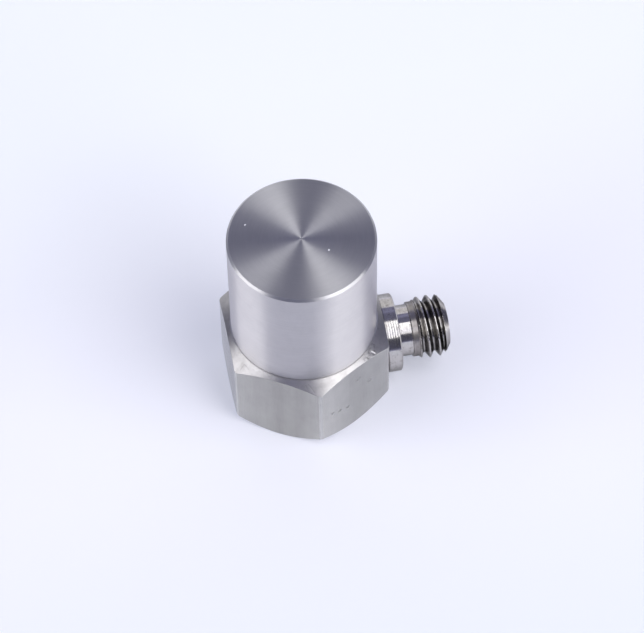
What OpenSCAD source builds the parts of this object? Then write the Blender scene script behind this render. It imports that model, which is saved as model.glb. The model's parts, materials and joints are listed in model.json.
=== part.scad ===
// Piezoelectric vibration sensor with a hexagonal base, a turned case and a side connector.
// Millimetres. The origin is the centre of the mounting face, +Z is the sensing axis
// and the connector points along +X, square to one flat of the hexagon.

/* [Base] */
// Width of the hexagon across its flats
hex_af = 12; // [11.6:0.1:14]
// Height of the hexagon
hex_h = 7.65; // [7.2:0.05:9.5]
// Slope of the turned chamfer on top of the hexagon, in degrees
top_chamfer_angle = 28; // [15:1:35]
// Slope of the turned chamfer at the foot of the hexagon, in degrees
foot_chamfer_angle = 45; // [30:1:50]
// How far inside the flats the foot's chamfer starts
foot_chamfer_inset = 0.05; // [0.02:0.01:0.2]
// Depth to which the upright corners of the hexagon are broken
corner_break = 0.065; // [0.02:0.005:0.15]
// Height of the round register that the case sits on
register_h = 1.4; // [1:0.1:2]

/* [Mounting hole] */
// Nominal diameter of the mounting thread
mount_thread_d = 5; // [4:0.5:6]
// Pitch of the mounting thread
mount_thread_pitch = 0.8; // [0.5:0.05:1]
// Depth of the threaded hole, without its drill point
mount_hole_depth = 6; // [4:0.1:7]
// Included angle of the hole's drill point, in degrees
drill_point_angle = 118; // [100:1:140]

/* [Case] */
// Outer diameter of the case
case_d = 11.2; // [10.8:0.1:11.6]
// Height of the case above the hexagon
case_h = 10.6; // [10:0.05:14]
// Thickness of the case's round wall
case_wall = 0.7; // [0.5:0.05:0.9]
// Thickness of the case's top
case_top_t = 1; // [0.6:0.1:1.5]
// Width of the bevel around the top's rim
case_bevel = 0.17; // [0.1:0.01:0.4]
// Width of the fine bevel at the case's foot, which makes the seam
case_foot_bevel = 0.07; // [0.04:0.01:0.15]
// Width of the flat ledge on the base around the case's foot
case_ledge = 0.08; // [0.04:0.01:0.15]

/* [Sensing stack] */
// Diameter of the centre post and of its thread
post_d = 2.5; // [2:0.1:2.8]
// Thickness of each contact foil
foil_t = 0.1; // [0.05:0.01:0.2]
// Thickness of each crystal ring
crystal_t = 1; // [0.6:0.1:1.2]
// Wall of the insulating sleeve on the post
post_sleeve_wall = 0.25; // [0.15:0.05:0.35]
// Free space between the seismic mass and the case's wall
mass_gap = 0.9; // [0.6:0.1:1.2]
// Width of the bevels on the seismic mass
mass_bevel = 0.2; // [0.1:0.05:0.4]
// Diameter of the pressure washer and of the disc spring
washer_d = 5.4; // [4.8:0.1:6]
// Thickness of the pressure washer
washer_t = 0.4; // [0.3:0.05:0.6]
// Thickness of the disc spring's sheet
spring_t = 0.3; // [0.2:0.05:0.4]
// Rise of the disc spring's cone
spring_rise = 0.3; // [0.2:0.05:0.5]
// Width of the preload nut across its flats
nut_af = 4.5; // [4.2:0.1:5]
// Height of the preload nut
nut_h = 1.6; // [1.2:0.1:2]
// Length of post that stands out of the nut
post_end = 0.3; // [0.2:0.1:0.5]
// Free space between the post and the case's top
headroom = 0.6; // [0.3:0.1:1]

/* [Signal lead] */
// Diameter of the lead wire
wire_d = 0.3; // [0.2:0.05:0.4]
// Diameter of the hole that leads the wire through the base
lead_hole_d = 1.2; // [1:0.1:1.3]
// Metal left between the lead hole and the register's edge
lead_hole_wall = 0.4; // [0.3:0.05:0.6]
// Free space between the lead hole and the crystals
crystal_margin = 0.1; // [0.05:0.05:0.3]
// Width of the electrode's tab
tab_w = 0.9; // [0.7:0.1:1.1]
// Length of wire that stands out above the tab
wire_end = 0.3; // [0.2:0.05:0.5]

/* [Connector] */
// Height of the connector's axis above the mounting face
connector_z = 3.65; // [3.25:0.05:4.2]
// Diameter of the collar against the flat
collar_d = 6.1; // [5.4:0.1:6.3]
// Length of the collar
collar_l = 1.2; // [0.9:0.1:1.7]
// Width of the bevel on the collar's outer edge
collar_bevel = 0.08; // [0.04:0.01:0.2]
// Diameter of the neck between the collar and the shoulder
neck_d = 4; // [3.7:0.05:4.2]
// Length of the neck
neck_l = 1.05; // [0.7:0.05:1.6]
// Diameter of the shoulder in front of the thread
shoulder_d = 4.3; // [4.2:0.05:4.5]
// Length of the shoulder
shoulder_l = 0.45; // [0.3:0.05:0.8]
// Nominal diameter of the connector's thread
thread_d = 4.83; // [4.75:0.01:5.2]
// Length of the threaded end, with its run-in and its chamfer
thread_l = 2.5; // [2.2:0.05:4]
// Depth of the chamfer at the tip
tip_chamfer = 0.75; // [0.5:0.05:0.8]
// Length of that chamfer
tip_chamfer_l = 0.5; // [0.4:0.05:0.8]
// Diameter of the shell's inner end in the base
tail_d = 3.6; // [3.2:0.1:4]
// Bore of the shell
shell_bore_d = 2.6; // [2.2:0.1:2.7]
// Diameter of the socket's mouth
socket_d = 2.9; // [2.7:0.1:3]
// Depth of the socket
socket_depth = 1.6; // [1.2:0.1:2]
// Diameter of the insulator's nose in the socket
nose_d = 1.7; // [1.4:0.1:2]
// Length of the insulator's nose
nose_l = 1; // [0.6:0.1:1.2]
// Diameter of the centre contact
contact_d = 0.8; // [0.7:0.05:1]
// Bore of the contact's socket
contact_bore_d = 0.5; // [0.4:0.05:0.55]
// Depth of the contact's socket
contact_bore_depth = 2; // [1.5:0.1:2.5]
// Width of the slots that let the contact's socket spring
contact_slot_w = 0.12; // [0.08:0.02:0.2]
// Length of those slots
contact_slot_l = 1.2; // [0.8:0.1:1.5]
// How far the contact's mouth lies back in the insulator's nose
contact_setback = 0.1; // [0.05:0.05:0.3]
// Length of the glass seal
seal_l = 0.8; // [0.5:0.1:1.2]
// Length of the contact's tail past the lead wire
tail_past_wire = 0.45; // [0.3:0.05:0.6]
// Free space between the contact's tail and the floor of the connector's bore
tail_room = 0.22; // [0.15:0.01:0.4]

/* [Fits] */
// Radial clearance where pieces slide together
slide_fit = 0.03; // [0.01:0.01:0.05]
// Radial room around the post in the mass and the washer
post_room = 0.12; // [0.05:0.01:0.2]
// Thickness of solder between the joined metals
solder_film = 0.02; // [0.01:0.01:0.04]
// Width of the solder joints around the wire
solder_w = 0.25; // [0.15:0.05:0.3]
// Height of the solder joints
solder_h = 0.4; // [0.3:0.05:0.5]

/* [Hidden] */
$fn = 96;
// How far a cut runs past the face that it leaves
over = 0.5;

steel = [0.72, 0.72, 0.74];
bright_steel = [0.78, 0.78, 0.8];
ceramic = [0.86, 0.80, 0.66];
tungsten = [0.42, 0.42, 0.44];
bronze = [0.80, 0.62, 0.36];
gold = [0.90, 0.74, 0.36];
copper = [0.80, 0.50, 0.36];
solder = [0.66, 0.68, 0.70];
fluoropolymer = [0.93, 0.93, 0.91];
glass = [0.36, 0.50, 0.46];

// Base and case
hex_corner_r = hex_af / 2 / cos(30);
foot_chamfer_r = hex_af / 2 - foot_chamfer_inset;
turning_r = hex_corner_r + over;
tap_r = (mount_thread_d - mount_thread_pitch) / 2;
mouth_r = mount_thread_d / 2;
drill_point_h = tap_r / tan(drill_point_angle / 2);
case_r = case_d / 2;
case_bore_r = case_r - case_wall;
top_chamfer_r = case_r + case_ledge;
case_top_z = hex_h + case_h;
ceiling_z = case_top_z - case_top_t;
register_r = case_bore_r - slide_fit;
deck_z = hex_h + register_h;

// Sensing stack, from the deck up and from the case's top down
post_r = post_d / 2;
post_top_z = ceiling_z - headroom;
nut_z = post_top_z - post_end - nut_h;
spring_h = spring_t + spring_rise;
spring_z = nut_z - spring_h;
washer_z = spring_z - washer_t;
lower_crystal_z = deck_z + foil_t;
electrode_z = lower_crystal_z + crystal_t;
upper_crystal_z = electrode_z + foil_t;
upper_foil_z = upper_crystal_z + crystal_t;
mass_z = upper_foil_z + foil_t;
mass_r = case_bore_r - mass_gap;
post_bore_r = post_r + post_room;
sleeve_r = post_r + slide_fit + post_sleeve_wall;
stack_bore_r = sleeve_r + slide_fit;

// Signal lead
wire_r = wire_d / 2;
wire_bore_r = wire_r + solder_film;
lead_hole_r = lead_hole_d / 2;
lead_x = register_r - lead_hole_wall - lead_hole_r;
crystal_r = lead_x - lead_hole_r - crystal_margin;
tab_top_z = electrode_z + foil_t;
solder_r = wire_bore_r + solder_w;

// Connector, measured along its own axis from the flat of the hexagon
flat_x = hex_af / 2;
tail_r = tail_d / 2;
tail_start = lead_x + lead_hole_r + crystal_margin - flat_x;
collar_r = collar_d / 2;
neck_r = neck_d / 2;
neck_end = collar_l + neck_l;
shoulder_r = shoulder_d / 2;
shoulder_end = neck_end + shoulder_l;
thread_r = thread_d / 2;
run_in = thread_r - shoulder_r;
tip = shoulder_end + thread_l;
shell_bore_r = shell_bore_d / 2;
socket_floor = tip - socket_depth;
core_r = shell_bore_r - slide_fit;
seal_end = tail_start + seal_l;
nose_end = socket_floor + nose_l;
contact_r = contact_d / 2;
contact_hole_r = contact_r + slide_fit;
contact_end = nose_end - contact_setback;
contact_start = lead_x - tail_past_wire - flat_x;
bore_floor_x = flat_x + contact_start - tail_room;
tail_top_z = connector_z + contact_r;

// A six-sided bar with flats that face the angles 0, 60, 120 and so on
module hex_bar(across_flats, h) {
    rotate(30)
        cylinder(d = across_flats / cos(30), h = h, $fn = 6);
}

// A flat ring that lies at height z
module ring(outer_r, bore_r, z, h) {
    translate([0, 0, z])
        rotate_extrude()
            translate([bore_r, 0])
                square([outer_r - bore_r, h]);
}

// Turns a shape made along +Z to the connector's axis, with its zero on the flat
module on_connector_axis() {
    translate([flat_x, 0, connector_z])
        rotate([0, 90, 0])
            children();
}

// A shape that stands where the lead passes through the base
module on_lead_axis(z) {
    translate([lead_x, 0, z])
        children();
}

// Hexagonal bar with broken corners, turned to the chamfers, the register and the post
module turned_bar() {
    intersection() {
        hex_bar(hex_af, post_top_z + over);
        rotate(30)
            hex_bar(2 * (hex_corner_r - corner_break), post_top_z + over);
        rotate_extrude()
            polygon([
                [0, 0],
                [foot_chamfer_r, 0],
                [turning_r, (turning_r - foot_chamfer_r) * tan(foot_chamfer_angle)],
                [turning_r, hex_h - (turning_r - top_chamfer_r) * tan(top_chamfer_angle)],
                [top_chamfer_r, hex_h],
                [register_r, hex_h],
                [register_r, deck_z],
                [post_r, deck_z],
                [post_r, post_top_z],
                [0, post_top_z],
            ]);
    }
}

// Tapped hole with a drill point and a mouth countersunk to the thread's full diameter
module mount_hole() {
    rotate_extrude()
        polygon([
            [0, -over],
            [mouth_r + over, -over],
            [tap_r, mouth_r - tap_r],
            [tap_r, mount_hole_depth],
            [0, mount_hole_depth + drill_point_h],
        ]);
}

module base() {
    color(steel)
        difference() {
            turned_bar();
            mount_hole();
            translate([bore_floor_x, 0, connector_z])
                rotate([0, 90, 0])
                    cylinder(r = tail_r + slide_fit, h = flat_x - bore_floor_x + over);
            on_lead_axis(connector_z)
                cylinder(r = lead_hole_r, h = deck_z - connector_z + over);
        }
}

module case() {
    color(steel)
        rotate_extrude()
            polygon([
                [case_bore_r, hex_h],
                [case_r - case_foot_bevel, hex_h],
                [case_r, hex_h + case_foot_bevel],
                [case_r, case_top_z - case_bevel],
                [case_r - case_bevel, case_top_z],
                [0, case_top_z],
                [0, ceiling_z],
                [case_bore_r, ceiling_z],
            ]);
}

module lower_ground_foil() {
    color(bronze)
        ring(crystal_r, stack_bore_r, deck_z, foil_t);
}

module lower_crystal() {
    color(ceramic)
        ring(crystal_r, stack_bore_r, lower_crystal_z, crystal_t);
}

module signal_electrode() {
    color(bronze)
        translate([0, 0, electrode_z])
            linear_extrude(foil_t)
                difference() {
                    union() {
                        circle(crystal_r);
                        translate([0, -tab_w / 2])
                            square([lead_x, tab_w]);
                        translate([lead_x, 0])
                            circle(tab_w / 2);
                    }
                    circle(stack_bore_r);
                    translate([lead_x, 0])
                        circle(wire_bore_r);
                }
}

module upper_crystal() {
    color(ceramic)
        ring(crystal_r, stack_bore_r, upper_crystal_z, crystal_t);
}

module upper_ground_foil() {
    color(bronze)
        ring(crystal_r, stack_bore_r, upper_foil_z, foil_t);
}

module post_sleeve() {
    color(fluoropolymer)
        ring(sleeve_r, post_r + slide_fit, deck_z, mass_z - deck_z);
}

module seismic_mass() {
    color(tungsten)
        rotate_extrude()
            polygon([
                [post_bore_r, mass_z],
                [mass_r - mass_bevel, mass_z],
                [mass_r, mass_z + mass_bevel],
                [mass_r, washer_z - mass_bevel],
                [mass_r - mass_bevel, washer_z],
                [post_bore_r, washer_z],
            ]);
}

module pressure_washer() {
    color(bright_steel)
        ring(washer_d / 2, post_bore_r, washer_z, washer_t);
}

// Dished ring: its outer edge bears on the washer and its inner edge on the nut
module disc_spring() {
    color(bright_steel)
        rotate_extrude()
            polygon([
                [post_bore_r, spring_z + spring_rise],
                [washer_d / 2, spring_z],
                [washer_d / 2, spring_z + spring_t],
                [post_bore_r, spring_z + spring_h],
            ]);
}

// Hexagonal nut with its upper corners turned off
module preload_nut() {
    nut_corner_r = nut_af / 2 / cos(30);
    nut_bore_r = post_r + slide_fit;
    color(bright_steel)
        intersection() {
            translate([0, 0, nut_z])
                hex_bar(nut_af, nut_h);
            rotate_extrude()
                polygon([
                    [nut_bore_r, nut_z],
                    [nut_corner_r + over, nut_z],
                    [nut_corner_r + over, nut_z + nut_h - (nut_corner_r + over - nut_af / 2) * tan(30)],
                    [nut_af / 2, nut_z + nut_h],
                    [nut_bore_r, nut_z + nut_h],
                ]);
        }
}

module lead_wire() {
    wire_foot_z = connector_z - contact_r;
    color(copper)
        on_lead_axis(wire_foot_z)
            cylinder(r = wire_r, h = tab_top_z + wire_end - wire_foot_z);
}

// Insulating tube that stands on the lower solder joint and ends below the tab
module lead_sleeve() {
    sleeve_foot_z = tail_top_z + solder_h;
    color(fluoropolymer)
        on_lead_axis(0)
            ring(lead_hole_r - slide_fit, wire_bore_r, sleeve_foot_z, electrode_z - sleeve_foot_z);
}

// Cone of solder around the wire, on top of the electrode's tab
module electrode_solder() {
    color(solder)
        on_lead_axis(tab_top_z)
            difference() {
                cylinder(r1 = solder_r, r2 = wire_bore_r + solder_film, h = wire_end);
                translate([0, 0, -over])
                    cylinder(r = wire_bore_r, h = wire_end + 2 * over);
            }
}

// Collar of solder around the wire, saddled on the contact's round tail
module contact_solder() {
    color(solder)
        difference() {
            on_lead_axis(connector_z)
                ring(solder_r, wire_bore_r, 0, contact_r + solder_h);
            on_connector_axis()
                translate([0, 0, contact_start - over])
                    cylinder(r = contact_r + solder_film, h = contact_end - contact_start);
        }
}

// Collar, neck, shoulder and threaded end in one turned piece, with a socket in its mouth
module connector_shell() {
    color(bright_steel)
        on_connector_axis()
            rotate_extrude()
                polygon([
                    [shell_bore_r, tail_start],
                    [tail_r, tail_start],
                    [tail_r, 0],
                    [collar_r, 0],
                    [collar_r, collar_l - collar_bevel],
                    [collar_r - collar_bevel, collar_l],
                    [neck_r, collar_l],
                    [neck_r, neck_end],
                    [shoulder_r, neck_end],
                    [shoulder_r, shoulder_end],
                    [thread_r, shoulder_end + run_in],
                    [thread_r, tip - tip_chamfer_l],
                    [thread_r - tip_chamfer, tip],
                    [socket_d / 2, tip],
                    [socket_d / 2, socket_floor],
                    [shell_bore_r, socket_floor],
                ]);
}

module rear_seal() {
    color(glass)
        on_connector_axis()
            ring(core_r, contact_hole_r, tail_start, seal_l);
}

// Core that fills the shell's bore and stands in the socket as a round nose
module connector_insulator() {
    color(fluoropolymer)
        on_connector_axis()
            rotate_extrude()
                polygon([
                    [contact_hole_r, seal_end],
                    [core_r, seal_end],
                    [core_r, socket_floor],
                    [nose_d / 2, socket_floor],
                    [nose_d / 2, nose_end],
                    [contact_hole_r, nose_end],
                ]);
}

// Pin with a slotted socket in front and a cross hole for the wire in its tail
module connector_contact() {
    color(gold)
        difference() {
            on_connector_axis()
                difference() {
                    translate([0, 0, contact_start])
                        cylinder(r = contact_r, h = contact_end - contact_start);
                    translate([0, 0, contact_end - contact_bore_depth])
                        cylinder(d = contact_bore_d, h = contact_bore_depth + over);
                    for (turn = [0, 90])
                        rotate(turn)
                            translate([-contact_d, -contact_slot_w / 2, contact_end - contact_slot_l])
                                cube([2 * contact_d, contact_slot_w, contact_slot_l + over]);
                }
            on_lead_axis(connector_z - contact_d)
                cylinder(r = wire_bore_r, h = 2 * contact_d);
        }
}

base();
case();
lower_ground_foil();
lower_crystal();
signal_electrode();
upper_crystal();
upper_ground_foil();
post_sleeve();
seismic_mass();
pressure_washer();
disc_spring();
preload_nut();
lead_wire();
lead_sleeve();
electrode_solder();
contact_solder();
connector_shell();
rear_seal();
connector_insulator();
connector_contact();
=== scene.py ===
import json
import math

import bmesh
import bpy
from mathutils import Matrix, Vector


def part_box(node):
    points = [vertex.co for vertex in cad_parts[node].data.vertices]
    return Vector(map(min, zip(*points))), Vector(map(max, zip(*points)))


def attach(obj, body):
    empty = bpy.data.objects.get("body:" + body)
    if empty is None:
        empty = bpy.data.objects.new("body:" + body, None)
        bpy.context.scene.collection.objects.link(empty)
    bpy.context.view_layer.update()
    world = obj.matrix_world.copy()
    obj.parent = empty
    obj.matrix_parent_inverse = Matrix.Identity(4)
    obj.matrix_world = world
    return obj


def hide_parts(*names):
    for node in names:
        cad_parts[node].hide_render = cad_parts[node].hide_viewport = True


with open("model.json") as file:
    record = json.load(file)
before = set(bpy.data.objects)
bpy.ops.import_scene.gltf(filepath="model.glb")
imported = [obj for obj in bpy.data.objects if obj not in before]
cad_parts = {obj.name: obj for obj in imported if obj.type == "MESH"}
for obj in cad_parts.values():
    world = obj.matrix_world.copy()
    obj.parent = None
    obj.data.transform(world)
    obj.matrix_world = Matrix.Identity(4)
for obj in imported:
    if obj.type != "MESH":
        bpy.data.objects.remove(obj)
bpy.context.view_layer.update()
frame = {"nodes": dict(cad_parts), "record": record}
nodes = frame["nodes"]
record = frame["record"]

MM = 0.001
BODY = "root"
COLUMNS = 144
BORE_COLUMNS = 48
THREAD_ROWS = 150
WELD = 0.0001 * MM
SIXTH_TURN = math.pi / 3
TWELFTH_TURN = math.pi / 6

# Sizes that the frame gives
case_low, case_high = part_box("case")
base_low, base_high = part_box("base")
shell_low, shell_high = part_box("connector_shell")
mount_sizes = {mount["name"]: mount["dims"] for mount in record["mounts"]}

HEX_H = case_low.z
HALF_FLATS = -base_low.x
CORNER_R = base_high.y
POST_TOP = base_high.z
CASE_R = (case_high.y - case_low.y) / 2
CASE_TOP = case_high.z
CONNECTOR_Z = (shell_low.z + shell_high.z) / 2
COLLAR_R = (shell_high.z - shell_low.z) / 2
TIP = shell_high.x - HALF_FLATS
TAIL_START = shell_low.x - HALF_FLATS
TAP_R = mount_sizes["mounting_hole"]["r_mm"] * MM
THREAD_R = mount_sizes["connector"]["r_mm"] * MM
SENSING_AXIS = ((0, 0, 1), (0, 0, 0))
CONNECTOR_AXIS = ((1, 0, 0), (0, 0, CONNECTOR_Z))

# Case, with the rows of its profile where the rim and the top start
CASE_WALL = 0.7 * MM
CASE_LID = 1 * MM
CASE_BEVEL = 0.17 * MM
CASE_FOOT = 0.07 * MM
CASE_EDGE = 0.02 * MM
RIM_EDGE = 1.5 * CASE_EDGE
PIP_R = 0.14 * MM
PIP_H = 0.02 * MM
PIP_EDGE = 0.5 * PIP_H
SLIDE_FIT = 0.03 * MM
RIM_ROW = 18
TOP_ROW = 25

# Base, with the rows of its profile that follow the hexagon and those of its flats and shoulder
FOOT_CHAMFER_R = HALF_FLATS - 0.05 * MM
TOP_CHAMFER_R = CASE_R + 0.08 * MM
TOP_SLOPE = math.tan(math.radians(28))
FOOT_SLOPE = math.tan(math.radians(45))
REGISTER_R = CASE_R - CASE_WALL - SLIDE_FIT
REGISTER_H = 1.4 * MM
CORNER_CUT = HALF_FLATS / math.cos(TWELFTH_TURN) - CORNER_R
CORNER_HALF = math.atan(CORNER_CUT * math.tan(SIXTH_TURN) / CORNER_R)
CORNER_SIDE = math.radians(1.35)
HOLE_DEPTH = 6 * MM
HOLE_PITCH = 0.8 * MM
HOLE_PHASE = 0.2
HOLE_MOUTH_R = 2.5 * MM
DRILL_POINT = math.radians(59)
POST_R = 1.25 * MM
BASE_EDGE = 0.03 * MM
LEAD_R = 0.6 * MM
LEAD_WALL = 0.4 * MM
BORE_FLOOR = 3.2 * MM
HEX_ROWS = range(7, 19)
FLAT_ROWS = range(11, 14)
SHOULDER_ROWS = range(14, 24)

# Connector, measured from the hexagon's flat
COLLAR_L = 1.2 * MM
COLLAR_BEVEL = 0.08 * MM
COLLAR_ROOT = 0.05 * MM
NECK_R = 2 * MM
NECK_END = 2.25 * MM
NECK_EDGE = 0.04 * MM
SHOULDER_R = 2.15 * MM
SHOULDER_END = 2.7 * MM
TIP_CHAMFER = 0.75 * MM
TIP_CHAMFER_L = 0.5 * MM
TIP_R = THREAD_R - TIP_CHAMFER
TAIL_R = 1.8 * MM
BORE_R = 1.3 * MM
SOCKET_R = 1.45 * MM
SOCKET_FLOOR = TIP - 1.6 * MM
TURNED_EDGE = 0.02 * MM
TURNING_GROOVES = 5
GROOVE_DEPTH = 0.0018 * MM
GROOVE_WIDTH = 0.1 * MM
GROOVE_EDGE = 0.01 * MM

# Thread; a flank's top and foot are shares of half a pitch
PITCH = 0.794 * MM
THREAD_ROOT = 1.96 * MM
THREAD_RUN_IN = 0.4 * PITCH
THREAD_RUN_OUT = 0.35 * PITCH
THREAD_LAND = 0.32 * PITCH
FLANK_TOP = 0.9
FLANK_FOOT = 0.14
TIP_RING = 0.13 * MM
TIP_RING_DEPTH = 0.11 * MM
TIP_CONE_BAND = 0.12 * MM
CREST_X = 9.955 * MM
CREST_ANGLE = math.radians(33.4)

# Wear, at places in millimetres: pits and stains on one flat, scratches, nicks and scuffs on the
# shoulder, dust on the top
PITS = ((1.0, -6.35, 3.55), (1.64, -5.98, 3.21), (2.33, -5.58, 2.91))
STAINS = ((3.2, -5.08, 5.68), (4.21, -4.5, 4.37))
SCRATCHES = (
    ((-5.56, -3.42, 7.19), (-5.18, -3.11, 7.45)),
    ((-5.18, -3.11, 7.45), (-4.94, -3.59, 7.42)),
    ((-0.98, -5.92, 7.47), (-0.8, -6.4, 7.23)),
    ((-0.78, -5.87, 7.52), (-0.4, -6.51, 7.2)),
)
NICKS = (
    ((3.78, -4.82, 7.41), (3.88, -4.74, 7.41)),
    ((4.52, -3.91, 7.49), (4.73, -4.03, 7.36)),
)
SCUFFS = ((4.5, -4.0, 7.42), (4.2, -4.42, 7.4), (4.62, -3.62, 7.45))
DUST = ((-3.87, 2.04, 18.25), (1.8, -1.4, 18.25))
PIT_SIZE = 0.2 * MM
STAIN_SIZE = 0.3 * MM
SCRATCH_WIDTH = 0.05 * MM
NICK_WIDTH = 0.09 * MM
SCUFF_SIZE = 0.5 * MM
DUST_SIZE = 0.09 * MM
# Depth and edge of the darkened thread grooves, where deposit and painted shade lie
GROOVE_DARK_DEPTH = 0.16 * MM
GROOVE_DARK_EDGE = 0.01 * MM
# Width and fade of the painted contact shade on the collar beside the hexagon's flat
CONTACT_SHADE_WIDTH = 0.12 * MM
CONTACT_SHADE_FADE = 0.2 * MM
DUST_TONE = (0.95, 0.95, 0.97, 1)
HANDLED_TONE = (0.3, 0.3, 0.33, 1)
BLOTCH_TONE = (0.24, 0.225, 0.215, 1)
SCRATCH_TONE = (0.2, 0.19, 0.19, 1)
SCUFF_TONE = (0.15, 0.145, 0.145, 1)
# Near-white tone of the nicks, a painted glint
NICK_GLINT_TONE = (0.95, 0.94, 0.93, 1)
SMEAR_TONE = (0.2, 0.18, 0.16, 1)
DULL_TONE = (0.17, 0.15, 0.14, 1)
# Tone of the painted contact shade on the collar
CONTACT_SHADE_TONE = (0.07, 0.066, 0.066, 1)
# Tone of the grooves' dark deposit and painted shade
GROOVE_RESIDUE_AND_SHADE_TONE = (0.045, 0.042, 0.042, 1)
DRAWN_OUT = (1, 1, 0.06)

# Camera
FRAME_W = 644
SENSOR_W = 36
AIM = Vector((0, 0, 7.3846 * MM))
AZIMUTH = math.radians(-9.914)
ELEVATION = math.radians(56.359)
ROLL = math.radians(-1.175)
DISTANCE = 251.896 * MM
FOCAL_PIXELS = 3288.97
SIDE_STEP = -1.3947 * MM
RISE_STEP = -0.2693 * MM

# Studio
LAMP_DISTANCE = 0.9
LAMP_TINT = (1.0, 0.995, 0.985)
SKY_TINT = (0.87, 0.89, 1.4)
SKY_LEVELS = (
    (0.0, 0.8), (0.49, 0.8), (0.52, 0.28), (0.56, 0.12), (0.78, 0.08),
    (0.86, 0.3), (0.92, 0.38), (0.96, 0.2), (1.0, 0.22),
)
FLOOR_HALF = 1.5
FLOOR_DROP = 0.02 * MM
FLOOR_GLOW = (0.7, 0.79, 1.0, 1)
FLOOR_GLOW_SHARE = 0.2
# Floor colours from front to back, painted to stand in for how the light falls and tints the shadow
FLOOR_FRONT = (0.925, 0.94, 0.985, 1)
FLOOR_MIDDLE = (0.97, 0.96, 1.0, 1)
FLOOR_BACK = (0.985, 1.0, 1.0, 1)

# Upright panels: azimuth, elevation, half width and half height in degrees, then radiance
PANELS = {
    "right_panel": (-42, 24, 25, 22, 2.2),
    "left_panel": (-171, 20, 21, 18, 2.3),
    "back_panel": (80, 19, 42, 24, 0.8),
}

# Panels overhead: azimuth in degrees, reach, width and length, turn in degrees, then radiance
CEILINGS = {
    "right_ceiling": (-48.9, 0.762, 0.72, 1.2, 6, 2.6),
    "left_ceiling": (176.6, 0.956, 0.95, 0.85, 12, 2.0),
}


def add_camera():
    back = Vector((
        math.sin(AZIMUTH) * math.cos(ELEVATION),
        -math.cos(AZIMUTH) * math.cos(ELEVATION),
        math.sin(ELEVATION),
    ))
    level = Vector((math.cos(AZIMUTH), math.sin(AZIMUTH), 0))
    upright = back.cross(level)
    right = level * math.cos(ROLL) + upright * math.sin(ROLL)
    up = upright * math.cos(ROLL) - level * math.sin(ROLL)
    place = AIM + back * DISTANCE - right * SIDE_STEP - up * RISE_STEP
    lens = bpy.data.cameras.new("photo_camera")
    lens.sensor_width = SENSOR_W
    lens.lens = FOCAL_PIXELS * lens.sensor_width / FRAME_W
    lens.clip_start = 0.01
    lens.clip_end = 10
    camera = bpy.data.objects.new("photo_camera", lens)
    camera.matrix_world = Matrix((
        (right.x, up.x, back.x, place.x),
        (right.y, up.y, back.y, place.y),
        (right.z, up.z, back.z, place.z),
        (0, 0, 0, 1),
    ))
    bpy.context.scene.collection.objects.link(camera)
    bpy.context.scene.camera = camera


class Nodes:
    """A node tree under construction: a short way to add and link its nodes."""

    def __init__(self, tree):
        self.tree = tree
        tree.nodes.clear()

    def node(self, kind, inputs=None, **settings):
        made = self.tree.nodes.new(kind)
        for key, value in settings.items():
            setattr(made, key, value)
        for key, value in (inputs or {}).items():
            self.put(made.inputs[key], value)
        return made

    def put(self, socket, value):
        if isinstance(value, bpy.types.NodeSocket):
            self.tree.links.new(value, socket)
        else:
            socket.default_value = value

    def math(self, operation, a, b=0.0):
        return self.node("ShaderNodeMath", {0: a, 1: b}, operation=operation).outputs[0]

    def product(self, first, *others):
        for value in others:
            first = self.math("MULTIPLY", first, value)
        return first

    def total(self, *parts):
        """Sum of (value, weight) pairs."""
        result = 0.0
        for value, weight in parts:
            result = self.math("ADD", self.math("MULTIPLY", value, weight), result)
        return result

    def vector_node(self, operation, a, b=(0, 0, 0)):
        return self.node("ShaderNodeVectorMath", {0: a, 1: b}, operation=operation)

    def vector(self, operation, a, b=(0, 0, 0)):
        return self.vector_node(operation, a, b).outputs[0]

    def measure(self, operation, a, b=(0, 0, 0)):
        return self.vector_node(operation, a, b).outputs["Value"]

    def scaled(self, vector, amount):
        inputs = {0: vector, "Scale": amount}
        return self.node("ShaderNodeVectorMath", inputs, operation="SCALE").outputs[0]

    def axes(self, vector):
        return self.node("ShaderNodeSeparateXYZ", {0: vector}).outputs

    def noise(self, vector, scale=1.0, detail=2.0, roughness=0.5):
        inputs = {"Vector": vector, "Scale": scale, "Detail": detail, "Roughness": roughness}
        return self.node("ShaderNodeTexNoise", inputs).outputs["Fac"]

    def spread(self, value, low, high, to_low=0.0, to_high=1.0):
        inputs = {0: value, 1: low, 2: high, 3: to_low, 4: to_high}
        return self.node("ShaderNodeMapRange", inputs).outputs[0]

    def blend(self, amount, a, b):
        """Mix of two colours, which are the node's sockets 6 and 7."""
        inputs = {"Factor": amount, 6: a, 7: b}
        return self.node("ShaderNodeMix", inputs, data_type="RGBA").outputs[2]


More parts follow.
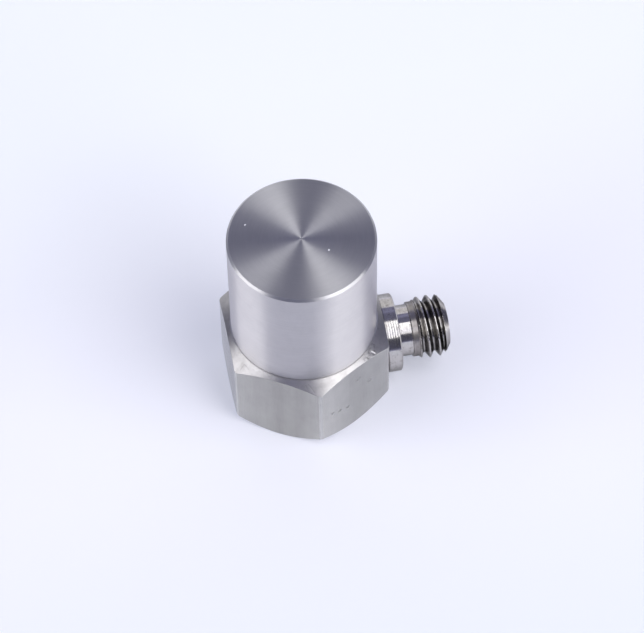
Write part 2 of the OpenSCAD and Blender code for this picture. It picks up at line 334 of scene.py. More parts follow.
class Finish(Nodes):
    """A material under construction, laid out on the piece's own coordinates."""

    def __init__(self, name):
        self.material = bpy.data.materials.new(name)
        self.material.use_nodes = True
        super().__init__(self.material.node_tree)
        self.place = self.node("ShaderNodeTexCoord").outputs["Object"]

    def bump(self, height, depth):
        inputs = {"Strength": 1.0, "Distance": depth, "Height": height}
        return self.node("ShaderNodeBump", inputs).outputs[0]

    def grain(self, size, detail, roughness, stretch=None):
        """Noise of a given grain size, drawn out where a stretch is given."""
        place = self.vector("MULTIPLY", self.place, stretch) if stretch else self.place
        return self.noise(place, 1 / size, detail, roughness)

    def shade(self, tone, colour, contrast):
        """A colour that follows a tone, darker and lighter by its contrast."""
        dark, light = tint(colour, 1 - contrast), tint(colour, 1 + contrast)
        return self.blend(self.spread(tone, 0.3, 0.7), dark, light)

    def stain(self, made, amount, tone):
        """Blends a tone into the colour of the surface's inputs made so far."""
        made["Base Color"] = self.blend(amount, made["Base Color"], tone)

    def spots(self, places, size):
        """Ragged marks at given places, in millimetres."""
        ragged = self.noise(self.place, 1.6 / size)
        ragged = self.spread(ragged, 0.3, 0.7, -0.4 * size, 0.4 * size)
        marks = 0.0
        for place in places:
            away = self.measure("DISTANCE", self.place, Vector(place) * MM)
            away = self.math("ADD", away, ragged)
            marks = self.math("MAXIMUM", marks, self.spread(away, 0.3 * size, size, 1.0, 0.0))
        return marks

    def strokes(self, lines, width):
        """Fine lines between given places, in millimetres."""
        marks = 0.0
        for start, end in lines:
            run = (Vector(end) - Vector(start)) * MM
            away = self.vector("SUBTRACT", self.place, Vector(start) * MM)
            share = self.measure("DOT_PRODUCT", away, run / run.length_squared)
            nearest = self.scaled(run, self.spread(share, 0.0, 1.0))
            beside = self.measure("DISTANCE", away, nearest)
            marks = self.math("MAXIMUM", marks, self.spread(beside, 0.3 * width, width, 1.0, 0.0))
        return marks

    def surface(self, inputs):
        shader = self.node("ShaderNodeBsdfPrincipled", inputs)
        self.node("ShaderNodeOutputMaterial", {"Surface": shader.outputs[0]})
        return self.material


class Lathe:
    """A point's place on a turned surface: its radius, its place along the axis, its way round."""

    def __init__(self, finish, axis):
        self.finish = finish
        self.direction, through = axis
        local = finish.vector("SUBTRACT", finish.place, through)
        self.along = finish.measure("DOT_PRODUCT", local, self.direction)
        across = finish.vector("SUBTRACT", local, finish.scaled(self.direction, self.along))
        self.radius = finish.measure("LENGTH", across)
        self.outward = finish.vector("NORMALIZE", across)
        self.round_way = finish.vector("CROSS_PRODUCT", self.direction, self.outward)

    def marks(self, width, wander, detail=2.0):
        """Noise drawn out into rings; a larger wander makes shorter arcs."""
        finish = self.finish
        place = finish.math("DIVIDE", finish.math("ADD", self.radius, self.along), width)
        laid = finish.vector(
            "ADD", finish.scaled(self.outward, wander), finish.scaled(self.direction, place)
        )
        return finish.noise(laid, 1.0, detail, 0.6)


def tint(colour, amount):
    return tuple(channel * amount for channel in colour[:3]) + (1.0,)


def turned_steel(
    name, colour, axis, roughness, anisotropy, ring_width, depth, contrast, wear=None, edge=1.0
):
    """Steel cut on a lathe: rings round the axis, clouds of tone, and what the wear function adds.

    The edge is how much light the steel returns at a grazing angle.
    """
    finish = Finish(name)
    lathe = Lathe(finish, axis)
    coarse = lathe.marks(3.2 * ring_width, 2.0, 3.0)
    fine = lathe.marks(ring_width, 4.0)
    cloud = finish.grain(1.6 * MM, 3.0, 0.55)
    tone = finish.total((coarse, 0.5), (cloud, 0.5))
    uneven = finish.total((fine, 0.06), (cloud, 0.06))
    made = {
        "Base Color": finish.shade(tone, colour, contrast),
        "Metallic": 1.0,
        "Roughness": finish.math("ADD", uneven, roughness - 0.06),
        "Anisotropic": anisotropy,
        "Anisotropic Rotation": 0.25,
        "Specular Tint": (edge, edge, edge, 1),
        "Tangent": lathe.round_way,
    }
    height = finish.total((coarse, 1.6), (fine, 1.0))
    if wear:
        height = wear(finish, lathe, made, height)
    made["Normal"] = finish.bump(height, depth)
    return finish.surface(made)


def faced_wear(finish, lathe, made, height):
    """A faced disc is finer near its centre and carries a few grains of dust."""
    finer = finish.spread(lathe.radius, 0.2 * MM, 3 * MM, -0.06, 0.0)
    made["Roughness"] = finish.math("ADD", made["Roughness"], finer)
    dust = finish.spots(DUST, DUST_SIZE)
    finish.stain(made, dust, DUST_TONE)
    made["Metallic"] = finish.math("SUBTRACT", 1.0, dust)
    return height


def wall_wear(finish, lathe, made, height):
    """Faint handling marks on the round wall."""
    smear = finish.grain(0.9 * MM, 4.0, 0.6, (1, 1, 0.6))
    finish.stain(made, finish.spread(smear, 0.52, 0.7, 0.0, 0.07), HANDLED_TONE)
    return height


def chamfer_wear(finish, lathe, made, height):
    """Blotches, scratches, scuffs and nicks on the hexagon's turned shoulder; the nicks' near-white
    tone is a painted glint.
    """
    blotch = lathe.marks(0.35 * MM, 9.0, 4.0)
    mottle = finish.grain(0.2 * MM, 2.0, 0.6)
    smudge = finish.grain(0.45 * MM, 4.0, 0.65)
    scratched = finish.product(
        finish.strokes(SCRATCHES, SCRATCH_WIDTH), finish.spread(blotch, 0.4, 0.55, 0.3, 1.0)
    )
    nicked_with_glint = finish.product(
        finish.strokes(NICKS, NICK_WIDTH), finish.spread(blotch, 0.35, 0.55, 0.4, 0.9)
    )
    scuffed = finish.product(
        finish.spots(SCUFFS, SCUFF_SIZE), finish.spread(mottle, 0.44, 0.58, 0.0, 0.75)
    )
    dark = finish.math(
        "ADD",
        finish.spread(blotch, 0.5, 0.8, 0.0, 0.35),
        finish.spread(smudge, 0.5, 0.72, 0.0, 0.3),
    )
    finish.stain(made, dark, BLOTCH_TONE)
    finish.stain(made, finish.product(scratched, 0.4), SCRATCH_TONE)
    finish.stain(made, scuffed, SCUFF_TONE)
    # Real nicks, brightened with a painted glint
    finish.stain(made, nicked_with_glint, NICK_GLINT_TONE)
    made["Roughness"] = finish.total((made["Roughness"], 1.0), (blotch, 0.1), (nicked_with_glint, 0.3))
    return finish.total(
        (height, 1.0), (scratched, -1.5), (scuffed, -2.0), (nicked_with_glint, -3.0), (blotch, 2.0)
    )


def thread_wear_and_shade(finish, lathe, made, height):
    """Dark deposit with painted shade in the thread's grooves, a dull shoulder, smears and painted
    contact shade on the collar beside the flat.
    """
    along, radius = lathe.along, lathe.radius
    shoulder = HALF_FLATS + NECK_END
    thread = HALF_FLATS + SHOULDER_END
    tip = HALF_FLATS + TIP
    outside = finish.math("GREATER_THAN", radius, SOCKET_R + 0.1 * MM)
    # Dark deposit and painted shade below the crests, lighter at the roots except near the tip.
    in_groove = finish.spread(radius, THREAD_R - GROOVE_DARK_DEPTH, THREAD_R - GROOVE_DARK_EDGE, 1.0, 0.0)
    on_thread = finish.product(
        finish.spread(along, thread + 0.15 * MM, thread + 0.45 * MM),
        finish.spread(along, tip - TIP_CHAMFER_L, tip - 0.4 * TIP_CHAMFER_L, 1.0, 0.7),
    )
    patchy = finish.spread(finish.grain(0.4 * MM, 3.0, 0.6), 0.35, 0.6, 0.97, 0.7)
    lighter_root = finish.spread(radius, THREAD_ROOT + 0.03 * MM, THREAD_ROOT + 0.1 * MM, 0.55, 1.0)
    at_tip = finish.spread(along, tip - 1.2 * TIP_CHAMFER_L, tip - TIP_CHAMFER_L)
    left_dark = finish.math("MAXIMUM", lighter_root, at_tip)
    groove_residue_and_shade = finish.product(in_groove, outside, on_thread, patchy, left_dark)
    dull = finish.product(
        finish.spread(along, shoulder - 0.05 * MM, shoulder + 0.1 * MM),
        finish.spread(along, thread, thread + 0.15 * MM, 0.6, 0.0),
        outside,
    )
    smear = finish.math(
        "MAXIMUM",
        finish.spread(lathe.marks(0.5 * MM, 3.0, 3.0), 0.56, 0.74, 0.0, 0.45),
        finish.spread(finish.grain(0.28 * MM, 4.0, 0.65), 0.52, 0.68, 0.0, 0.5),
    )
    # Painted contact shade: the collar darkened beside the hexagon's flat.
    contact_shade = finish.spread(along, HALF_FLATS + CONTACT_SHADE_WIDTH, HALF_FLATS + CONTACT_SHADE_FADE, 0.8, 0.0)
    finish.stain(made, smear, SMEAR_TONE)
    finish.stain(made, dull, DULL_TONE)
    finish.stain(made, contact_shade, CONTACT_SHADE_TONE)
    finish.stain(made, groove_residue_and_shade, GROOVE_RESIDUE_AND_SHADE_TONE)
    made["Roughness"] = finish.total(
        (made["Roughness"], 1.0), (groove_residue_and_shade, 0.1), (dull, 0.25), (smear, 0.1)
    )
    return height


def drawn_steel(name, colour, roughness, painted_shading):
    """Flats of a drawn bar: fine upright lines, faint stains and a few pits.

    The painted_shading argument is how far painted light and shade change the tone: lighter near
    each flat's edges, darker towards the top and towards -x.
    """
    finish = Finish(name)
    lines = finish.grain(0.09 * MM, 3.0, 0.6, DRAWN_OUT)
    broad = finish.grain(0.7 * MM, 2.0, 0.5, DRAWN_OUT)
    stain = finish.grain(1.4 * MM, 4.0, 0.6)
    stained = finish.product(finish.spots(STAINS, STAIN_SIZE), 0.5)
    pit = finish.math("MAXIMUM", finish.spots(PITS, PIT_SIZE), stained)
    tone = finish.total((lines, 0.25), (broad, 0.35), (stain, 0.4))
    spot = finish.axes(finish.place)
    turn = finish.math("ARCTAN2", spot[1], spot[0])
    across = finish.math("FRACT", finish.math("ADD", finish.math("DIVIDE", turn, SIXTH_TURN), 0.5))
    # Painted light and shade: each flat lighter near its edges, the bar darker towards the top and
    # towards -x.
    one_edge = finish.spread(across, 0.0, 0.5, 1.0, 0.0)
    other_edge = finish.spread(across, 0.8, 1.0)
    above = finish.spread(spot[2], 0.5 * MM, 6 * MM)
    painted_drift = finish.spread(spot[0], -3 * MM, 1.5 * MM, -0.5, 0.15)
    edges = finish.total(
        (one_edge, painted_shading), (other_edge, 0.5 * painted_shading), (above, -0.4 * painted_shading), (painted_drift, painted_shading)
    )
    shade = finish.scaled(finish.shade(tone, colour, 0.14), finish.math("ADD", edges, 1.0))
    rough = finish.total((lines, 0.14), (stain, 0.12), (pit, 0.2))
    height = finish.total((lines, 0.7), (broad, 0.8), (pit, -3.0))
    sideways = finish.vector("CROSS_PRODUCT", (0, 0, 1), finish.place)
    return finish.surface({
        "Base Color": finish.blend(finish.product(pit, 0.38), shade, tint(colour, 0.3)),
        "Metallic": 1.0,
        "Roughness": finish.math("ADD", rough, roughness - 0.13),
        "Anisotropic": 0.35,
        "Tangent": finish.vector("NORMALIZE", sideways),
        "Normal": finish.bump(height, 0.0025 * MM),
    })


def plain_finish(name, colour, metallic, roughness, size, depth, stretch=None, contrast=0.12):
    """Finish of an inner piece: a tone that varies, with a fine grain of a given size and depth."""
    finish = Finish(name)
    fine = finish.grain(size, 3.0, 0.6, stretch)
    broad = finish.grain(9 * size, 3.0, 0.5, stretch)
    tone = finish.total((fine, 0.5), (broad, 0.5))
    return finish.surface({
        "Base Color": finish.shade(tone, colour, contrast),
        "Metallic": metallic,
        "Roughness": finish.math("ADD", finish.product(broad, 0.16), roughness - 0.08),
        "Normal": finish.bump(fine, depth),
    })


case_wall = turned_steel(
    "case_turned_wall", (0.615, 0.6, 0.605), SENSING_AXIS, roughness=0.345, anisotropy=1.0,
    ring_width=0.05 * MM, depth=0.001 * MM, contrast=0.05, wear=wall_wear,
)
case_rim = turned_steel(
    "case_bright_rim", (0.515, 0.51, 0.52), SENSING_AXIS, roughness=0.39, anisotropy=0.85,
    ring_width=0.04 * MM, depth=0.0006 * MM, contrast=0.05,
)
case_top = turned_steel(
    "case_faced_top", (0.465, 0.463, 0.473), SENSING_AXIS, roughness=0.48, anisotropy=0.93,
    ring_width=0.05 * MM, depth=0.001 * MM, contrast=0.06, wear=faced_wear,
)
base_turned = turned_steel(
    "base_turned_steel", (0.60, 0.595, 0.59), SENSING_AXIS, roughness=0.3, anisotropy=0.7,
    ring_width=0.06 * MM, depth=0.0015 * MM, contrast=0.12,
)
base_chamfer = turned_steel(
    "base_worn_chamfer", (0.46, 0.45, 0.445), SENSING_AXIS, roughness=0.32, anisotropy=0.7,
    ring_width=0.06 * MM, depth=0.002 * MM, contrast=0.16, wear=chamfer_wear,
)
base_drawn = drawn_steel(
    "base_drawn_steel", (0.435, 0.43, 0.408), roughness=0.22, painted_shading=0.24
)
base_edge = drawn_steel(
    "base_burnished_edge", (0.54, 0.54, 0.52), roughness=0.3, painted_shading=0.0
)
shell_turned = turned_steel(
    "connector_turned_steel", (0.54, 0.52, 0.5), CONNECTOR_AXIS, roughness=0.14, anisotropy=0.5,
    ring_width=0.05 * MM, depth=0.0004 * MM, contrast=0.12, wear=thread_wear_and_shade, edge=0.42,
)
shell_chamfer = turned_steel(
    "connector_turned_chamfer", (0.46, 0.44, 0.425), CONNECTOR_AXIS, roughness=0.22, anisotropy=0.7,
    ring_width=0.05 * MM, depth=0.001 * MM, contrast=0.25, edge=0.2,
)

# Finishes of the inner pieces, by slot
FINISHES = {
    "spring_steel": plain_finish(
        "spring_steel", (0.5, 0.5, 0.52), metallic=1.0, roughness=0.34,
        size=0.05 * MM, depth=0.001 * MM,
    ),
    "foil_bronze": plain_finish(
        "rolled_bronze_foil", (0.72, 0.47, 0.2), metallic=1.0, roughness=0.32,
        size=0.06 * MM, depth=0.001 * MM, stretch=(0.08, 1, 1),
    ),
    "crystal_ceramic": plain_finish(
        "lapped_ceramic", (0.7, 0.6, 0.42), metallic=0.0, roughness=0.55,
        size=0.07 * MM, depth=0.002 * MM,
    ),
    "tungsten_alloy": plain_finish(
        "turned_tungsten_alloy", (0.22, 0.22, 0.24), metallic=1.0, roughness=0.45,
        size=0.06 * MM, depth=0.0015 * MM, stretch=(0.3, 0.3, 1),
    ),
    "copper": plain_finish(
        "drawn_copper", (0.78, 0.36, 0.2), metallic=1.0, roughness=0.3,
        size=0.04 * MM, depth=0.0008 * MM, stretch=(1, 1, 0.1),
    ),
    "solder": plain_finish(
        "bright_solder", (0.6, 0.61, 0.63), metallic=1.0, roughness=0.26,
        size=0.12 * MM, depth=0.003 * MM,
    ),
    "seal_glass": plain_finish(
        "fused_seal_glass", (0.07, 0.17, 0.14), metallic=0.0, roughness=0.12,
        size=0.1 * MM, depth=0.0006 * MM,
    ),
    "fluoropolymer": plain_finish(
        "white_fluoropolymer", (0.8, 0.79, 0.75), metallic=0.0, roughness=0.42,
        size=0.06 * MM, depth=0.0015 * MM, contrast=0.05,
    ),
    "gold_plate": plain_finish(
        "gold_plating", (0.9, 0.62, 0.22), metallic=1.0, roughness=0.22,
        size=0.05 * MM, depth=0.0006 * MM,
    ),
}


def rounded(corners, steps=3):
    """Points of a profile whose corners, each (radius, height, fillet), are rounded."""
    points = []
    for index, (radius, height, fillet) in enumerate(corners):
        here = Vector((radius, height))
        if fillet == 0 or index in (0, len(corners) - 1):
            points.append(here)
            continue
        before = (Vector(corners[index - 1][:2]) - here).normalized()
        after = (Vector(corners[index + 1][:2]) - here).normalized()
        turn = math.acos(max(-1.0, min(1.0, -before.dot(after))))
        reach = fillet * math.tan(turn / 2)
        support = reach + 0.3 * fillet
        middle = here + (before + after).normalized() * (fillet / math.cos(turn / 2))
        first = here + before * reach - middle
        side = 1 if first.x * (here - middle).y - first.y * (here - middle).x > 0 else -1
        points.append(here + before * support)
        for step in range(steps + 1):
            angle = side * turn * step / steps
            points.append(middle + Vector((
                first.x * math.cos(angle) - first.y * math.sin(angle),
                first.x * math.sin(angle) + first.y * math.cos(angle),
            )))
        points.append(here + after * support)
    return points


def swept(shape, angles, profile_at, finish_at=None):
    """Adds a surface swept round Z; profile_at gives (point, angle) pairs for one column."""
    columns = []
    for angle in angles:
        column = []
        for point, turned in profile_at(angle):
            spot = (point.x * math.cos(turned), point.x * math.sin(turned), point.y)
            column.append(shape.verts.new(spot))
        columns.append(column)
    for angle, here, following in zip(angles, columns, columns[1:] + columns[:1]):
        for row in range(len(here) - 1):
            face = shape.faces.new((here[row], following[row], following[row + 1], here[row + 1]))
            if finish_at:
                face.material_index = finish_at(row, angle)


def round_profile(points):
    return lambda angle: [(point, angle) for point in points]


def even_angles():
    return [2 * math.pi * column / COLUMNS for column in range(COLUMNS)]


def linked(name, data):
    """A new object in the scene."""
    made = bpy.data.objects.new(name, data)
    bpy.context.scene.collection.objects.link(made)
    return made


def to_mesh(shape, name, finishes, crease=32):
    """Closes a bmesh, sets its creases by angle and makes it an object."""
    bmesh.ops.remove_doubles(shape, verts=shape.verts, dist=WELD)
    bmesh.ops.recalc_face_normals(shape, faces=shape.faces)
    for face in shape.faces:
        face.smooth = True
    for edge in shape.edges:
        edge.smooth = edge.is_manifold and edge.calc_face_angle(0) < math.radians(crease)
    mesh = bpy.data.meshes.new(name)
    shape.to_mesh(mesh)
    shape.free()
    for finish in finishes:
        mesh.materials.append(finish)
    return linked(name, mesh)


def thread_tree():
    """Geometry Nodes tree of a thread: a tube whose skin follows a right-handed helical groove."""
    tree = bpy.data.node_groups.new("turned_thread", "GeometryNodeTree")
    sockets = {
        "NodeSocketFloat": (
            "Uncut Radius", "Cut Radius", "Pitch", "Length", "Start Radius", "End Radius",
            "Start Slope", "End Slope", "End Ring", "End Ring Depth", "Fade In", "Fade Out",
            "Land", "Phase", "Side",
        ),
        "NodeSocketInt": ("Columns", "Rows"),
        "NodeSocketVector": ("Turn", "Place"),
        "NodeSocketMaterial": ("Finish",),
    }
    for kind, labels in sockets.items():
        for label in labels:
            tree.interface.new_socket(label, in_out="INPUT", socket_type=kind)
    tree.interface.new_socket("Mesh", in_out="OUTPUT", socket_type="NodeSocketGeometry")
    build = Nodes(tree)
    maths = build.math
    entry = build.node("NodeGroupInput").outputs

    def limited(value):
        return build.node("ShaderNodeClamp", {0: value, 1: 0.0, 2: 1.0}).outputs[0]

    grid = build.node("GeometryNodeMeshGrid", {
        "Size X": 2 * math.pi,
        "Size Y": entry["Length"],
        "Vertices X": maths("ADD", entry["Columns"], 1.0),
        "Vertices Y": maths("ADD", entry["Rows"], 1.0),
    }).outputs["Mesh"]
    flat = build.axes(build.node("GeometryNodeInputPosition").outputs[0])
    angle = maths("ADD", flat[0], math.pi)
    along = maths("ADD", flat[1], maths("MULTIPLY", entry["Length"], 0.5))
    left = maths("SUBTRACT", entry["Length"], along)
    turns = maths("DIVIDE", along, entry["Pitch"])
    turns = maths("SUBTRACT", turns, maths("DIVIDE", angle, 2 * math.pi))
    wave = maths("FRACT", maths("ADD", turns, entry["Phase"]))
    crest = maths("MULTIPLY", maths("ABSOLUTE", maths("SUBTRACT", wave, 0.5)), 2.0)
    groove = build.spread(crest, FLANK_TOP, FLANK_FOOT)
    fade = maths(
        "MULTIPLY",
        limited(maths("DIVIDE", along, entry["Fade In"])),
        limited(maths("DIVIDE", maths("SUBTRACT", left, entry["Land"]), entry["Fade Out"])),
    )
    depth = maths("SUBTRACT", entry["Cut Radius"], entry["Uncut Radius"])
    depth = maths("MULTIPLY", depth, maths("MULTIPLY", groove, fade))
    cut = maths("ADD", entry["Uncut Radius"], depth)
    start = maths("MULTIPLY", entry["Side"], entry["Start Radius"])
    start = maths("ADD", start, maths("MULTIPLY", entry["Start Slope"], along))
    end = maths("MULTIPLY", entry["Side"], entry["End Radius"])
    end = maths("ADD", end, maths("MULTIPLY", entry["End Slope"], left))
    ring = maths("FRACT", maths("DIVIDE", left, entry["End Ring"]))
    end = maths("SUBTRACT", end, maths("MULTIPLY", entry["End Ring Depth"], ring))
    lowest = maths("MINIMUM", maths("MULTIPLY", entry["Side"], cut), maths("MINIMUM", start, end))
    radius = maths("MULTIPLY", entry["Side"], lowest)
    spot = build.node("ShaderNodeCombineXYZ", {
        0: maths("MULTIPLY", radius, maths("COSINE", angle)),
        1: maths("MULTIPLY", radius, maths("SINE", angle)),
        2: along,
    }).outputs[0]
    skin = grid
    for kind, inputs in (
        ("GeometryNodeSetPosition", {"Position": spot}),
        ("GeometryNodeTransform", {"Rotation": entry["Turn"], "Translation": entry["Place"]}),
        ("GeometryNodeMergeByDistance", {"Distance": WELD}),
        ("GeometryNodeRealizeInstances", {}),
        ("GeometryNodeSetMaterial", {"Material": entry["Finish"]}),
    ):
        skin = build.node(kind, {"Geometry": skin, **inputs}).outputs[0]
    build.node("NodeGroupOutput", {0: skin})
    return tree


def thread_skin(tree, **values):
    """The plain mesh that the thread tree makes from these inputs."""
    holder = linked("thread_holder", bpy.data.meshes.new("thread_holder"))
    modifier = holder.modifiers.new("thread", "NODES")
    modifier.node_group = tree
    sockets = tree.interface.items_tree
    identifiers = {item.name: item.identifier for item in sockets if item.in_out == "INPUT"}
    for label, value in values.items():
        modifier[identifiers[label.replace("_", " ").title()]] = value
    graph = bpy.context.evaluated_depsgraph_get()
    mesh = bpy.data.meshes.new_from_object(holder.evaluated_get(graph))
    bpy.data.objects.remove(holder)
    return mesh


# Places of the finishes on the case and on the base
WALL, RIM, TOP = range(3)
DRAWN, TURNED, SHOULDER, EDGE = range(4)


def case_finish(row, angle):
    """Wall below the rim's bevel, bright rim, faced top."""
    if row < RIM_ROW:
        return WALL
    return RIM if row < TOP_ROW else TOP


def make_case():
    """The case: a turned cup with a bevelled rim and a small pip at the centre of its faced top."""
    inner = CASE_R - CASE_WALL
    ceiling = CASE_TOP - CASE_LID
    profile = rounded([
        (0, ceiling, 0),
        (inner, ceiling, 0),
        (inner, HEX_H, 0),
        (CASE_R - CASE_FOOT, HEX_H, CASE_EDGE),
        (CASE_R, HEX_H + CASE_FOOT, CASE_EDGE),
        (CASE_R, CASE_TOP - CASE_BEVEL, RIM_EDGE),
        (CASE_R - CASE_BEVEL, CASE_TOP, RIM_EDGE),
        (PIP_R, CASE_TOP, PIP_EDGE),
        (0.6 * PIP_R, CASE_TOP - PIP_H, PIP_EDGE),
        (0, CASE_TOP - 0.4 * PIP_H, 0),
    ])
    shape = bmesh.new()
    swept(shape, even_angles(), round_profile(profile), case_finish)
    return to_mesh(shape, "turned_case", [case_wall, case_rim, case_top])


def hex_radius(angle):
    """Reach of the hexagon, with broken corners, in one direction."""
    from_flat = (angle + TWELFTH_TURN) % SIXTH_TURN - TWELFTH_TURN
    from_corner = angle % SIXTH_TURN - TWELFTH_TURN
    return min(HALF_FLATS / math.cos(from_flat), CORNER_R / math.cos(from_corner))


def hex_angles():
    """Even angles, with those at the edges of each broken corner and beside it."""
    angles = set(even_angles())
    for side in range(6):
        corner = TWELFTH_TURN + side * math.pi / 3
        for offset in (CORNER_HALF, CORNER_SIDE):
            angles.update((corner - offset, corner + offset))
    return sorted(angles)


def snapped(angle):
    step = 2 * math.pi / COLUMNS
    return round(angle / step) * step


def base_profile(angle):
    """One column of the base: foot, hexagon between its turned chamfers, register and post."""
    reach = hex_radius(angle)
    deck = HEX_H + REGISTER_H
    points = rounded([
        (HOLE_MOUTH_R, 0, 0),
        (FOOT_CHAMFER_R, 0, BASE_EDGE),
        (reach, (reach - FOOT_CHAMFER_R) * FOOT_SLOPE, BASE_EDGE),
        (reach, HEX_H - (reach - TOP_CHAMFER_R) * TOP_SLOPE, BASE_EDGE),
        (TOP_CHAMFER_R, HEX_H, BASE_EDGE),
        (REGISTER_R, HEX_H, 0),
        (REGISTER_R, deck, 0),
        (POST_R, deck, 0),
        (POST_R, POST_TOP, 0),
        (0, POST_TOP, 0),
    ])
    plain = snapped(angle)
    return [(point, angle if row in HEX_ROWS else plain) for row, point in enumerate(points)]


def base_finish(row, angle):
    """Drawn flats with burnished corners, the worn shoulder above them, turned steel elsewhere."""
    if row in FLAT_ROWS:
        from_corner = angle % SIXTH_TURN - TWELFTH_TURN
        return EDGE if abs(from_corner + CORNER_HALF / 2) < CORNER_HALF else DRAWN
    return SHOULDER if row in SHOULDER_ROWS else TURNED


def cut_bore(piece, start, direction, length, radius):
    """Cuts a round bore into a piece with an exact boolean."""
    tool = bmesh.new()
    turn = Vector((0, 0, 1)).rotation_difference(direction).to_matrix().to_4x4()
    bmesh.ops.create_cone(
        tool, cap_ends=True, segments=BORE_COLUMNS, radius1=radius, radius2=radius, depth=length,
        matrix=Matrix.Translation(start + direction * (length / 2)) @ turn,
    )
    mesh = bpy.data.meshes.new("bore")
    tool.to_mesh(mesh)
    tool.free()
    mesh.materials.append(base_turned)
    cutter = linked("bore", mesh)
    modifier = piece.modifiers.new("bore", "BOOLEAN")
    modifier.operation = "DIFFERENCE"
    modifier.solver = "EXACT"
    modifier.object = cutter
    graph = bpy.context.evaluated_depsgraph_get()
    result = bpy.data.meshes.new_from_object(piece.evaluated_get(graph))
    piece.modifiers.remove(modifier)
    result.name = piece.data.name
    piece.data = result
    bpy.data.objects.remove(cutter)


def make_base(tree):
    """The base: its outside, its tapped hole, and the bores for the connector and the lead."""
    skin = thread_skin(
        tree, uncut_radius=TAP_R, cut_radius=HOLE_MOUTH_R, pitch=HOLE_PITCH, length=HOLE_DEPTH,
        start_radius=HOLE_MOUTH_R, end_radius=TAP_R, start_slope=1.0, end_slope=1.0,
        end_ring=HOLE_DEPTH, end_ring_depth=0.0, fade_in=WELD, fade_out=HOLE_PITCH, land=0.0,
        phase=HOLE_PHASE, side=-1.0, columns=COLUMNS, rows=THREAD_ROWS,
        turn=(0.0, 0.0, 0.0), place=(0.0, 0.0, 0.0), finish=base_turned,
    )
    shape = bmesh.new()
    shape.from_mesh(skin)
    for face in shape.faces:
        face.material_index = TURNED
    swept(shape, hex_angles(), base_profile, base_finish)
    drill_end = HOLE_DEPTH + TAP_R / math.tan(DRILL_POINT)
    point = [Vector((TAP_R, HOLE_DEPTH)), Vector((0, drill_end))]
    swept(shape, even_angles(), round_profile(point), lambda row, angle: TURNED)
    piece = to_mesh(shape, "hexagonal_base", [base_drawn, base_turned, base_chamfer, base_edge])
    bore_start = Vector((BORE_FLOOR, 0, CONNECTOR_Z))
    cut_bore(piece, bore_start, Vector((1, 0, 0)), HALF_FLATS, TAIL_R + SLIDE_FIT)
    lead_start = Vector((REGISTER_R - LEAD_WALL - LEAD_R, 0, CONNECTOR_Z))
    cut_bore(piece, lead_start, Vector((0, 0, 1)), HEX_H, LEAD_R)
    return piece


def make_shell(tree):
    """The connector's shell: a turned body with bore and socket, closed by its thread's skin."""
    crest_along = CREST_X - HALF_FLATS - SHOULDER_END
    skin = thread_skin(
        tree, uncut_radius=THREAD_R, cut_radius=THREAD_ROOT, pitch=PITCH,
        length=TIP - SHOULDER_END, start_radius=SHOULDER_R, end_radius=TIP_R, start_slope=1.0,
        end_slope=TIP_CHAMFER / TIP_CHAMFER_L, end_ring=TIP_RING, end_ring_depth=TIP_RING_DEPTH,
        fade_in=THREAD_RUN_IN, fade_out=THREAD_RUN_OUT, land=THREAD_LAND,
        phase=(CREST_ANGLE + math.pi / 2) / (2 * math.pi) - crest_along / PITCH, side=1.0,
        columns=COLUMNS, rows=THREAD_ROWS, turn=(0.0, math.pi / 2, 0.0),
        place=(HALF_FLATS + SHOULDER_END, 0.0, CONNECTOR_Z), finish=shell_turned,
    )
    corners = [
        (SHOULDER_R, SHOULDER_END, 0),
        (SHOULDER_R, NECK_END, NECK_EDGE),
        (NECK_R, NECK_END, NECK_EDGE),
        (NECK_R, COLLAR_L, COLLAR_ROOT),
        (COLLAR_R - COLLAR_BEVEL, COLLAR_L, TURNED_EDGE),
        (COLLAR_R, COLLAR_L - COLLAR_BEVEL, TURNED_EDGE),
    ]
    step = (COLLAR_L - COLLAR_BEVEL) / (TURNING_GROOVES + 1)
    for groove in range(TURNING_GROOVES, 0, -1):
        corners.append((COLLAR_R, groove * step + GROOVE_WIDTH / 2, GROOVE_EDGE))
        corners.append((COLLAR_R - GROOVE_DEPTH, groove * step, GROOVE_EDGE))
        corners.append((COLLAR_R, groove * step - GROOVE_WIDTH / 2, GROOVE_EDGE))
    corners += [
        (COLLAR_R, 0, TURNED_EDGE),
        (TAIL_R, 0, 0),
        (TAIL_R, TAIL_START, 0),
        (BORE_R, TAIL_START, 0),
        (BORE_R, SOCKET_FLOOR, 0),
        (SOCKET_R, SOCKET_FLOOR, 0),
        (SOCKET_R, TIP, TURNED_EDGE),
        (TIP_R, TIP, 0),
    ]
    body = bmesh.new()
    swept(body, even_angles(), round_profile(rounded(corners)))
    to_flat = Matrix.Translation((HALF_FLATS, 0, CONNECTOR_Z))
    to_axis = to_flat @ Matrix.Rotation(math.pi / 2, 4, "Y")
    bmesh.ops.transform(body, matrix=to_axis, verts=body.verts)
    body.from_mesh(skin)
    for face in body.faces:
        middle = face.calc_center_median()
        before_tip = HALF_FLATS + TIP - middle.x
        reach = math.hypot(middle.y, middle.z - CONNECTOR_Z)
        cone = TIP_R + before_tip * TIP_CHAMFER / TIP_CHAMFER_L
        face.material_index = int(before_tip > WELD and abs(reach - cone) < TIP_CONE_BAND)
    return to_mesh(body, "threaded_shell", [shell_turned, shell_chamfer], crease=40)


def dress():
    """Makes the outer pieces and gives every other node its finish."""
    tree = thread_tree()
    outer = (
        (make_case(), "case", "case_steel"),
        (make_base(tree), "base", "base_steel"),
        (make_shell(tree), "connector_shell", "connector_steel"),
    )
    for piece, node, slot in outer:
        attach(piece, BODY)
        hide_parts(node)
    replaced = [node for piece, node, slot in outer]
    for part in record["subparts"]:
        if part["node"] in replaced:
            continue
        kept = nodes[part["node"]]
        kept.data.materials.clear()
        kept.data.materials.append(FINISHES[part["material_slot"]])


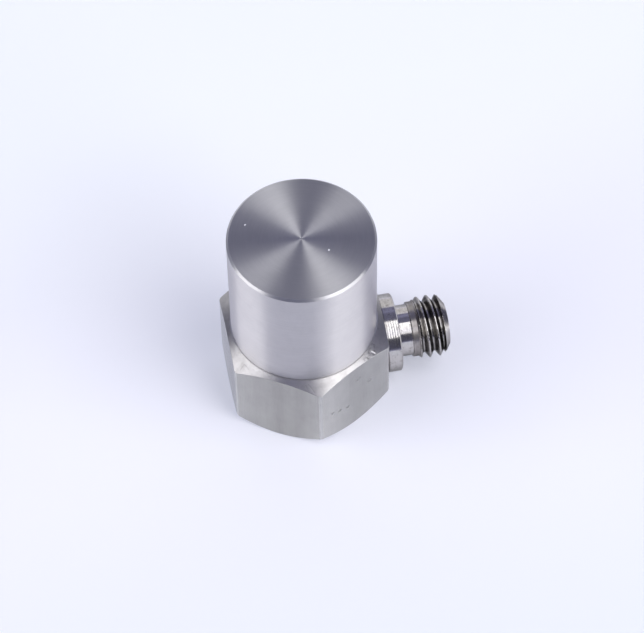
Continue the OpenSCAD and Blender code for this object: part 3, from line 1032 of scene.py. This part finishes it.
def add_lamp(name, width, length, radiance):
    """A soft area lamp of an even radiance, where 1 is white."""
    lamp = bpy.data.lights.new(name, "AREA")
    lamp.shape = "RECTANGLE"
    lamp.size = width
    lamp.size_y = length
    lamp.energy = radiance * math.pi * width * length
    lamp.color = LAMP_TINT
    panel = linked(name, lamp)
    panel.visible_camera = False
    return panel


def add_panel(name, azimuth, elevation, half_width, half_height, radiance):
    """An upright panel that faces the object; its half sizes are the angles that it fills."""
    across, above = math.radians(azimuth), math.radians(elevation)
    away = Vector((
        math.cos(across) * math.cos(above), math.sin(across) * math.cos(above), math.sin(above)
    ))
    width = 2 * LAMP_DISTANCE * math.tan(math.radians(half_width))
    height = 2 * LAMP_DISTANCE * math.tan(math.radians(half_height))
    panel = add_lamp(name, width, height, radiance)
    panel.location = AIM + away * LAMP_DISTANCE
    panel.rotation_mode = "QUATERNION"
    panel.rotation_quaternion = away.to_track_quat("Z", "Y")


def add_ceiling(name, azimuth, reach, width, length, turn, radiance):
    """A level panel overhead; its reach and sizes are parts of its height."""
    panel = add_lamp(name, width * LAMP_DISTANCE, length * LAMP_DISTANCE, radiance)
    across = math.radians(azimuth)
    away = Vector((reach * math.cos(across), reach * math.sin(across), 1))
    panel.location = away * LAMP_DISTANCE
    panel.rotation_euler.z = math.radians(turn)


def add_floor():
    """Pale paper that keeps the shadow, painted darker in front, lavender round the object and
    whiter towards the back, a little self-lit where seen, and clear from below.
    """
    shape = bmesh.new()
    bmesh.ops.create_grid(shape, x_segments=8, y_segments=8, size=FLOOR_HALF)
    mesh = bpy.data.meshes.new("floor")
    shape.to_mesh(mesh)
    shape.free()
    floor = linked("floor", mesh)
    floor.location.z = -FLOOR_DROP
    finish = Finish("pale_floor")
    # Painted light: the floor darker in front, lavender round the object to tint its shadow, whiter
    # towards the back.
    cloud = finish.product(finish.grain(60 * MM, 2.0, 0.5), 10 * MM)
    depth = finish.math("ADD", finish.axes(finish.place)[1], cloud)
    colour = finish.blend(finish.spread(depth, -20 * MM, -4 * MM), FLOOR_FRONT, FLOOR_MIDDLE)
    colour = finish.blend(finish.spread(depth, 12 * MM, 32 * MM), colour, FLOOR_BACK)
    paper = finish.node("ShaderNodeBsdfDiffuse", {"Color": colour}).outputs[0]
    glow = finish.node("ShaderNodeEmission", {"Color": FLOOR_GLOW}).outputs[0]
    rays = finish.node("ShaderNodeLightPath").outputs
    seen = finish.math("MAXIMUM", rays["Is Camera Ray"], rays["Is Glossy Ray"])
    seen = finish.math("MAXIMUM", seen, rays["Is Transmission Ray"])
    share = finish.product(seen, FLOOR_GLOW_SHARE)
    lit = finish.node("ShaderNodeMixShader", {0: share, 1: paper, 2: glow}).outputs[0]
    clear = finish.node("ShaderNodeBsdfTransparent").outputs[0]
    below = finish.node("ShaderNodeNewGeometry").outputs["Backfacing"]
    mixed = finish.node("ShaderNodeMixShader", {0: below, 1: lit, 2: clear}).outputs[0]
    finish.node("ShaderNodeOutputMaterial", {"Surface": mixed})
    mesh.materials.append(finish.material)


def add_sky():
    """A dim room: bright below the horizon, for views from below, and dark above it."""
    world = bpy.data.worlds.new("studio")
    bpy.context.scene.world = world
    world.use_nodes = True
    sky = Nodes(world.node_tree)
    facing = sky.node("ShaderNodeTexCoord").outputs["Generated"]
    height = sky.spread(sky.axes(facing)[2], -1.0, 1.0)
    ramp = sky.node("ShaderNodeValToRGB", {0: height})
    while len(ramp.color_ramp.elements) < len(SKY_LEVELS):
        ramp.color_ramp.elements.new(0.5)
    for element, (place, level) in zip(ramp.color_ramp.elements, SKY_LEVELS):
        element.position = place
        element.color = tint(SKY_TINT, level)
    back = sky.node("ShaderNodeBackground", {"Color": ramp.outputs[0]})
    sky.node("ShaderNodeOutputWorld", {"Surface": back.outputs[0]})


def add_studio():
    add_sky()
    add_floor()
    for name, sizes in PANELS.items():
        add_panel(name, *sizes)
    for name, sizes in CEILINGS.items():
        add_ceiling(name, *sizes)


add_camera()
dress()
add_studio()
bpy.context.scene.view_settings.view_transform = "Standard"
